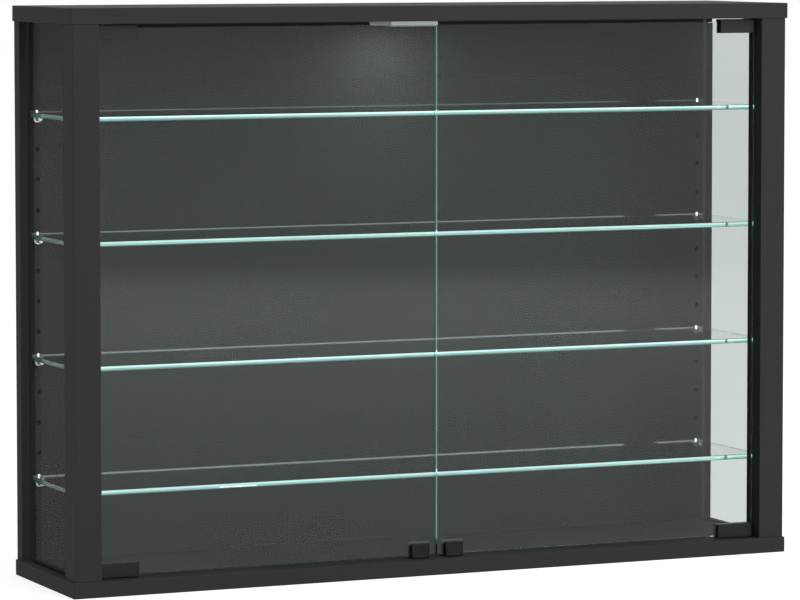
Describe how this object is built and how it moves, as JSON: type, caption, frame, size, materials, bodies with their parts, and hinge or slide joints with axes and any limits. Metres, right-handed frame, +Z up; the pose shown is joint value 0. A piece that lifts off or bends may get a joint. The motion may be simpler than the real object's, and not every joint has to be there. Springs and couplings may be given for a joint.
{
  "type": "display cabinet",
  "caption": "Shallow wall display cabinet with glass sides, glass shelves on pegs, inset glass doors on clamp hinges and a small light under the top.",
  "frame": {"origin": "middle of the base, at the foot of the bounding box", "axes": "+Z up, the doors face -Y, +X to the right of someone facing the doors"},
  "size_m": [0.8, 0.18, 0.584],
  "materials": {
    "boards": "matt anthracite melamine on chipboard",
    "glass": "clear float glass, polished edges",
    "shelf_glass": "clear float glass, polished green edges",
    "pegs": "nickel plated",
    "hinge_black": "satin black casting",
    "pin_steel": "zinc plated",
    "bush_plastic": "black acetal",
    "clamp_pad": "thin grip pad",
    "screw_steel": "zinc plated",
    "pull_black": "satin black",
    "clip_steel": "plated spring steel",
    "catch_plastic": "black moulding",
    "magnet": "plated magnet",
    "light_silver": "silver satin",
    "light_diffuser": "opal",
    "light_circuit": "white lamp board",
    "light_emitter": "lamp chips",
    "inlet_plastic": "socket moulding",
    "cap_plastic": "matt anthracite",
    "dowel_wood": "plain beech",
    "hanger_steel": "zinc plated"
  },
  "bodies": {
    "cabinet": {"back_wall": "boards", "bottom_board": "boards", "bottom_screws": "screw_steel", "catch_housing_left": "catch_plastic", "catch_housing_right": "catch_plastic", "catch_magnets": "magnet", "catch_screws": "screw_steel", "dowels_bottom": "dowel_wood", "dowels_top": "dowel_wood", "front_post_left": "boards", "front_post_right": "boards", "glass_shelf_1": "shelf_glass", "glass_shelf_2": "shelf_glass", "glass_shelf_3": "shelf_glass", "glass_shelf_4": "shelf_glass", "hanger_plate_left": "hanger_steel", "hanger_plate_right": "hanger_steel", "hanger_screws": "screw_steel", "hinge_bushes_bottom": "bush_plastic", "hinge_bushes_top": "bush_plastic", "light_board": "light_circuit", "light_housing": "light_silver", "light_inlet": "inlet_plastic", "light_leds": "light_emitter", "light_lens": "light_diffuser", "light_screws": "screw_steel", "shelf_pegs_1": "pegs", "shelf_pegs_2": "pegs", "shelf_pegs_3": "pegs", "shelf_pegs_4": "pegs", "side_glass_left": "glass", "side_glass_right": "glass", "top_board": "boards", "top_screw_caps": "cap_plastic", "top_screws": "screw_steel"},
    "door_left": {"clamp_pads_left": "clamp_pad", "clamp_screws_left": "screw_steel", "door_glass_left": "glass", "door_pull_left": "pull_black", "hinge_clamp_bottom_left": "hinge_black", "hinge_clamp_top_left": "hinge_black", "hinge_pin_bottom_left": "pin_steel", "hinge_pin_top_left": "pin_steel", "pressure_plates_left": "pin_steel", "strike_clip_left": "clip_steel"},
    "door_right": {"clamp_pads_right": "clamp_pad", "clamp_screws_right": "screw_steel", "door_glass_right": "glass", "door_pull_right": "pull_black", "hinge_clamp_bottom_right": "hinge_black", "hinge_clamp_top_right": "hinge_black", "hinge_pin_bottom_right": "pin_steel", "hinge_pin_top_right": "pin_steel", "pressure_plates_right": "pin_steel", "strike_clip_right": "clip_steel"}
  },
  "joints": [
    {"name": "door_left_hinge", "type": "hinge", "parent": "cabinet", "child": "door_left", "pos_m": [-0.36, -0.072, 0.292], "axis": [0, 0, -1], "range_deg": [0, 95]},
    {"name": "door_right_hinge", "type": "hinge", "parent": "cabinet", "child": "door_right", "pos_m": [0.36, -0.072, 0.292], "axis": [0, 0, 1], "range_deg": [0, 95]}
  ]
}
